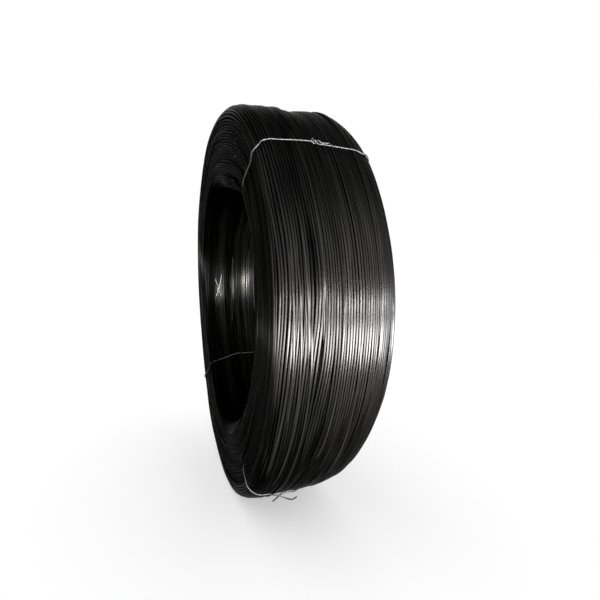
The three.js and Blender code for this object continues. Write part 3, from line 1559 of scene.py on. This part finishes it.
@dataclass(frozen=True)
class DarkWireFinish:
    """Dark drawn steel: a thin oxide with a soft sheen along the wire.

    The reflectance is the colour times a number between dull and bright, which follows the
    turn's tone and changes slowly along the wire. That tone carries painted highlight and
    painted shade as well as the turns' own differences.

    Attributes:
        name: the material's name.
        colour: the colour.
        dull: the number for the dullest turns.
        bright: the number for the brightest turns.
        edge: tint of the reflection at a low angle, on dull and on bright turns.
        smooth: roughness of the bright turns.
        rough: roughness of the dull turns.
        streaking: how much the tone changes along the wire.
        limited: whether a tone under 0 or over 1 counts as 0 or 1.
        polish: tones between which a turn gets smoother.
        streak_scale: streaks to a metre of wire.
        streak_detail: how many finer streaks lie over them.
        streak_roughness: how strong the finer ones are.
    """

    name: str
    colour: tuple[float, float, float]
    dull: float
    bright: float
    edge: tuple[float, float]
    smooth: float
    rough: float
    streaking: float = 0.9
    limited: bool = True
    polish: tuple[float, float] = (0.10, 0.80)
    streak_scale: float = 7.0
    streak_detail: float = 1.5
    streak_roughness: float = 0.45

    def _level(self, nt: bpy.types.NodeTree) -> bpy.types.NodeSocket:
        """Adds the wire's streaks to its tone.

        Args:
            nt: the material's node tree.

        Returns:
            Socket of the tone plus the streaks, which are half of streaking on average.
        """
        streak = nt.nodes.new("ShaderNodeTexNoise")
        streak.noise_dimensions = "1D"
        streak.inputs["Scale"].default_value = self.streak_scale
        streak.inputs["Detail"].default_value = self.streak_detail
        streak.inputs["Roughness"].default_value = self.streak_roughness
        nt.links.new(wire_attribute(nt, "wire_length"), streak.inputs["W"])
        both = nt.nodes.new("ShaderNodeMath")
        both.operation = "MULTIPLY_ADD"
        both.inputs[1].default_value = self.streaking
        nt.links.new(streak.outputs["Fac"], both.inputs[0])
        nt.links.new(wire_attribute(nt, "wire_tone"), both.inputs[2])
        return both.outputs[0]

    def build(self) -> bpy.types.Material:
        """Builds the node material.

        Returns:
            The new material.
        """
        mat, nt, shader = new_material(self.name)
        shader.inputs["Metallic"].default_value = 1.0
        level = self._level(nt)
        base = self.streaking / 2
        tones = (base, base + 1.0)
        polished = (base + self.polish[0], base + self.polish[1])
        shade = map_range(nt, level, tones, (self.dull, self.bright), self.limited)
        mix = nt.nodes.new("ShaderNodeVectorMath")
        mix.operation = "SCALE"
        mix.inputs[0].default_value = self.colour
        nt.links.new(shade, mix.inputs["Scale"])
        nt.links.new(mix.outputs["Vector"], shader.inputs["Base Color"])
        nt.links.new(map_range(nt, level, tones, self.edge), shader.inputs["Specular Tint"])
        roughness = map_range(nt, level, polished, (self.rough, self.smooth))
        nt.links.new(roughness, shader.inputs["Roughness"])
        return mat


# One and the same wire gets three colours: the rim the lit one, and the ends, lower skins and bore one
# about a fifth as bright, which is painted shade.
LIT_RIM_WIRE = DarkWireFinish(
    "dark_wire_lit_rim", (0.036, 0.035, 0.034), dull=0.20, bright=1.70,
    edge=(0.425, 0.35), smooth=0.225, rough=0.33,
)
# Painted shade: the ends and the lower skins get a far darker colour than the rim.
SHADED_END_WIRE = DarkWireFinish(
    "dark_wire_painted_shade", (0.0062, 0.0062, 0.0056), dull=0.70, bright=1.30,
    edge=(0.37, 0.36), smooth=0.34, rough=0.48, limited=False,
)
# Painted shade and painted highlight: the bore is as dark as the ends, and its high bright number lets
# tone patches paint its highlight.
INSIDE = DarkWireFinish(
    "bore_dark_wire", (0.0066, 0.0066, 0.0060), dull=0.20, bright=9.0,
    edge=(0.26, 0.30), smooth=0.18, rough=0.28, streaking=0.25,
)


@dataclass(frozen=True)
class TieFinish:
    """Light galvanised wire with a dull, slightly mottled zinc skin, which fades to a dark colour at its
    tips and under painted shade.

    Attributes:
        name: the material's name.
        pale: colour of the pale spots.
        dull: colour of the dull spots.
        rough: roughness.
        darkened_colour: colour that it fades to at its dark tips and under painted shade.
        metallic: how metallic the zinc skin looks.
        mottle_scale: spots to a metre.
        mottle_detail: how many finer spots lie over them.
    """

    name: str
    pale: Colour
    dull: Colour
    rough: float
    darkened_colour: Colour = (0.010, 0.010, 0.010, 1.0)
    metallic: float = 0.9
    mottle_scale: float = 160.0
    mottle_detail: float = 3.0

    def _blend(self, nt: bpy.types.NodeTree, factor: bpy.types.NodeSocket, low: Colour) -> bpy.types.Node:
        """Adds a node that blends from one colour to another.

        Args:
            nt: the material's node tree.
            factor: share of the second colour.
            low: the first colour.

        Returns:
            The node, whose second colour is still to be set.
        """
        blend = nt.nodes.new("ShaderNodeMix")
        blend.data_type = "RGBA"
        blend.inputs["A"].default_value = low
        nt.links.new(factor, blend.inputs["Factor"])
        return blend

    def build(self) -> bpy.types.Material:
        """Builds the node material.

        Returns:
            The new material.
        """
        mat, nt, shader = new_material(self.name)
        shader.inputs["Metallic"].default_value = self.metallic
        shader.inputs["Roughness"].default_value = self.rough
        place = nt.nodes.new("ShaderNodeTexCoord")
        mottle = nt.nodes.new("ShaderNodeTexNoise")
        mottle.inputs["Scale"].default_value = self.mottle_scale
        mottle.inputs["Detail"].default_value = self.mottle_detail
        nt.links.new(place.outputs["Object"], mottle.inputs["Vector"])
        zinc = self._blend(nt, mottle.outputs["Fac"], self.dull)
        zinc.inputs["B"].default_value = self.pale
        darkened = self._blend(nt, wire_attribute(nt, "wire_tone"), self.darkened_colour)
        nt.links.new(zinc.outputs["Result"], darkened.inputs["B"])
        nt.links.new(darkened.outputs["Result"], shader.inputs["Base Color"])
        return mat


BRIGHT_TIE = TieFinish("galvanised_tie", (0.17, 0.173, 0.176, 1.0), (0.075, 0.077, 0.079, 1.0), 0.42)
# Painted shade: the lower and rear ties are the same galvanised wire, given darker copies of its colour
# where they lie in shade.
LOWER_TIE_SHADED = TieFinish("galvanised_tie_painted_shade", (0.13, 0.131, 0.132, 1.0), (0.055, 0.056, 0.057, 1.0), 0.46)
REAR_TIE_SHADED = TieFinish("galvanised_tie_painted_deep_shade", (0.042, 0.042, 0.040, 1.0), (0.018, 0.018, 0.017, 1.0), 0.55)


@dataclass(frozen=True)
class CoreFinish:
    """The inside of the winding, which shows deep between the turns: its near-black colour is painted
    shade, standing for more wire in deep shade.

    Attributes:
        name: the material's name.
        colour: the colour.
        rough: roughness.
    """

    name: str = "winding_inside"
    # Painted shade: near black, for the deep shade between the turns.
    colour: Colour = (0.004, 0.004, 0.004, 1.0)
    rough: float = 0.9

    def build(self) -> bpy.types.Material:
        """Builds the node material.

        Returns:
            The new material.
        """
        mat, _, shader = new_material(self.name)
        shader.inputs["Base Color"].default_value = self.colour
        shader.inputs["Roughness"].default_value = self.rough
        return mat


# --------------------------------------------------------------------------------------
# Studio
# --------------------------------------------------------------------------------------


@dataclass(frozen=True)
class Strip:
    """A long lamp that faces the coil's middle.

    Attributes:
        name: its name.
        azimuth: degrees round from the front, positive towards +X.
        height: its height over the floor.
        distance: its level distance from the coil's middle.
        size: its width and height.
        watts: its power.
    """

    name: str
    azimuth: float
    height: float
    distance: float
    size: tuple[float, float]
    watts: float


@dataclass
class Studio:
    """Floor, lamps, world and camera.

    Attributes:
        rim_radius: outside radius of the coil, whose middle the camera looks at.
        azimuth: degrees of the camera round from the front, positive towards +X.
        elevation: degrees of the camera over the level.
        distance: distance of the camera from the coil's middle, in outside radii.
        pixels_per_radius: pixels of the frame that an outside radius fills in the middle.
        offset: pixels from the frame's middle to the coil's, to the right and down.
        frame: width of the frame in pixels.
        sensor: width of the camera's sensor in millimetres.
        farthest: how far the camera sees.
        white_to: degrees over the level up to which the surround is reflected as white.
        dark_from: degrees from which it is reflected as overhead.
        overhead: level of the reflected surround overhead.
        floor_size: side of the floor.
        floor_colour: grey of the floor.
        floor_lift: light that the floor adds for the rays that show it as background.
        strips: the lamps.
    """

    rim_radius: float
    azimuth: float = -16.436
    elevation: float = 5.399
    distance: float = 2.719
    pixels_per_radius: float = 178.6
    offset: tuple[float, float] = (-31.3, -1.43)
    frame: float = 600.0
    sensor: float = 36.0
    farthest: float = 200.0
    white_to: float = 31.0
    dark_from: float = 52.0
    overhead: float = 0.22
    floor_size: float = 80.0
    floor_colour: float = 0.6
    floor_lift: float = 0.47
    strips: tuple[Strip, ...] = (
        Strip("low_strip", 12.0, 0.165, 1.3, (7.2, 0.33), 205.0),
        Strip("upper_strip", 12.0, 0.55, 1.3, (7.2, 0.10), 50.0),
        Strip("side_strip", -80.0, 0.10, 1.3, (0.9, 0.13), 3.0),
    )

    def _background_ray(self, nt: bpy.types.NodeTree) -> bpy.types.NodeSocket:
        """Finds the rays that show the background: camera, glossy and transmission.

        Args:
            nt: the tree to add the nodes to.

        Returns:
            A socket that is 1 for these rays and 0 for the others.
        """
        path = nt.nodes.new("ShaderNodeLightPath")
        last = path.outputs["Is Camera Ray"]
        for name in ("Is Glossy Ray", "Is Transmission Ray"):
            either = nt.nodes.new("ShaderNodeMath")
            either.operation = "MAXIMUM"
            nt.links.new(last, either.inputs[0])
            nt.links.new(path.outputs[name], either.inputs[1])
            last = either.outputs[0]
        return last

    def floor(self) -> None:
        """Lays the white floor, which keeps the coil's shadow."""
        bpy.ops.mesh.primitive_plane_add(size=self.floor_size, location=(0.0, 0.0, 0.0))
        floor = bpy.context.active_object
        floor.name = "studio_floor"
        mat, nt, shader = new_material("studio_white")
        shader.inputs["Base Color"].default_value = (*([self.floor_colour] * 3), 1.0)
        shader.inputs["Roughness"].default_value = 1.0
        shader.inputs["Specular IOR Level"].default_value = 0.0
        shader.inputs["Emission Color"].default_value = (1.0, 1.0, 1.0, 1.0)
        lift = nt.nodes.new("ShaderNodeMath")
        lift.operation = "MULTIPLY"
        lift.inputs[1].default_value = self.floor_lift
        nt.links.new(self._background_ray(nt), lift.inputs[0])
        nt.links.new(lift.outputs[0], shader.inputs["Emission Strength"])
        floor.data.materials.append(mat)

    def world(self) -> None:
        """Sets a white surround, whose reflection darkens overhead."""
        world = bpy.data.worlds.new("studio_world")
        world.use_nodes = True
        nt = world.node_tree
        back = nt.nodes["Background"]
        back.inputs["Color"].default_value = (1.0, 1.0, 1.0, 1.0)
        place = nt.nodes.new("ShaderNodeTexCoord")
        split = nt.nodes.new("ShaderNodeSeparateXYZ")
        nt.links.new(place.outputs["Generated"], split.inputs[0])
        white, dark = (math.sin(math.radians(up)) for up in (self.white_to, self.dark_from))
        faded = map_range(nt, split.outputs["Z"], (white, dark), (1.0, self.overhead))
        faded.node.interpolation_type = "SMOOTHSTEP"
        path = nt.nodes.new("ShaderNodeLightPath")
        level = nt.nodes.new("ShaderNodeMix")
        level.data_type = "FLOAT"
        level.inputs[2].default_value = 1.0
        nt.links.new(path.outputs["Is Glossy Ray"], level.inputs[0])
        nt.links.new(faded, level.inputs[3])
        nt.links.new(level.outputs[0], back.inputs["Strength"])
        bpy.context.scene.world = world

    def lamp(self, strip: Strip) -> None:
        """Hangs a strip lamp, which shows in the wires' gloss alone.

        Args:
            strip: the lamp.
        """
        data = bpy.data.lights.new(strip.name, "AREA")
        data.shape = "RECTANGLE"
        data.size, data.size_y = strip.size
        data.energy = strip.watts
        lamp = bpy.data.objects.new(strip.name, data)
        a = math.radians(strip.azimuth)
        away = strip.distance
        lamp.location = Vector((away * math.sin(a), -away * math.cos(a), strip.height))
        toward = lamp.location - Vector((0.0, 0.0, self.rim_radius))
        lamp.rotation_euler = toward.to_track_quat("Z", "Y").to_euler()
        lamp.visible_camera = False
        lamp.visible_diffuse = False
        bpy.context.scene.collection.objects.link(lamp)

    def camera(self) -> None:
        """Sets the camera."""
        data = bpy.data.cameras.new("studio_camera")
        cam = bpy.data.objects.new("studio_camera", data)
        a, e = math.radians(self.azimuth), math.radians(self.elevation)
        back = Vector((math.sin(a) * math.cos(e), -math.cos(a) * math.cos(e), math.sin(e)))
        cam.location = Vector((0.0, 0.0, self.rim_radius)) + self.distance * self.rim_radius * back
        cam.rotation_euler = back.to_track_quat("Z", "Y").to_euler()
        data.sensor_width = self.sensor
        data.lens = self.sensor * self.pixels_per_radius * self.distance / self.frame
        data.shift_x = -self.offset[0] / self.frame
        data.shift_y = self.offset[1] / self.frame
        data.clip_end = self.farthest
        bpy.context.scene.collection.objects.link(cam)
        bpy.context.scene.camera = cam

    def build(self) -> None:
        """Builds the whole studio."""
        self.camera()
        self.floor()
        self.world()
        for strip in self.strips:
            self.lamp(strip)
        bpy.context.scene.view_settings.view_transform = "Standard"


# --------------------------------------------------------------------------------------
# The whole coil
# --------------------------------------------------------------------------------------


def coil_ties(winding: Winding) -> tuple[tuple[TieWire, TieFinish], ...]:
    """Sets out the three ties.

    Args:
        winding: the winding that they hold.

    Returns:
        Each tie and its finish.
    """
    upper = TieWire(
        "tie_upper", winding, degrees=43.5, knot=Knot.HOOKED_TWIST, knot_at=-0.016,
        leans=(Lean(-0.131, 0.012, 0.9), Lean(-0.03, 0.09, -1.5), Lean(0.090, 0.04, 3.0)),
        sway=3.1, sunk_below=0.378,
    )
    # Painted shade: the rear tie in the bore takes the darkest copy of the tie colour, and more of the
    # left end's painted shade.
    rear = TieWire(
        "tie_rear", winding, degrees=219.6, knot=Knot.PIGTAIL, knot_at=0.020,
        sway=4.2, end_shade=0.85,
    )
    # Painted shade: the lower tie takes a darker copy of the tie colour, and its long crossed ends are
    # darkened.
    lower = TieWire(
        "tie_lower", winding, degrees=-54.2, knot=Knot.CROSSED_ENDS, knot_at=-0.044,
        leans=(Lean(-0.095, 0.062, -7.4), Lean(-0.020, 0.080, -11.4)),
        sunk_below=0.445, dark_tip_length=0.045,
    )
    return (upper, BRIGHT_TIE), (rear, REAR_TIE_SHADED), (lower, LOWER_TIE_SHADED)


def dress(piece: bpy.types.Object, material: bpy.types.Material, slot: str, *nodes: str) -> None:
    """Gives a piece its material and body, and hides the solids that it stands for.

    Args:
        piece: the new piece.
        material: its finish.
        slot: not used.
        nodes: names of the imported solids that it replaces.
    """
    piece.data.materials.clear()
    piece.data.materials.append(material)
    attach(piece, BODY)
    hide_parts(*nodes)
    LOG.info("%s: %d faces", piece.name, len(piece.data.polygons))


def main() -> None:
    """Builds the studio, the winding and its ties."""
    logging.basicConfig(level=logging.INFO, format="%(message)s")
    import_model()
    bpy.ops.object.select_all(action="DESELECT")
    low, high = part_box("wire_coil")
    section = WindingSection(rim_radius=(high[2] - low[2]) / 2, width=high[0] - low[0])
    Studio(section.rim_radius).build()
    winding = Winding(section, Slump(section))
    # Painted shade: the bore and the ends take darker copies of the rim's colour.
    finished = (
        (LIT_RIM_WIRE, winding.rim_pieces()),
        (INSIDE, winding.bore_pieces()),
        (SHADED_END_WIRE, winding.end_pieces()),
    )
    for finish, pieces in finished:
        material = finish.build()
        for piece in pieces:
            dress(piece, material, "dark_wire", "wire_coil")
    dress(WindingCore(section).build(), CoreFinish().build(), "dark_wire", "wire_coil")
    for tie, tie_finish in coil_ties(winding):
        dress(tie.build(), tie_finish.build(), "tie_wire", tie.node)
    bpy.context.view_layer.update()


if __name__ == "__main__":
    main()
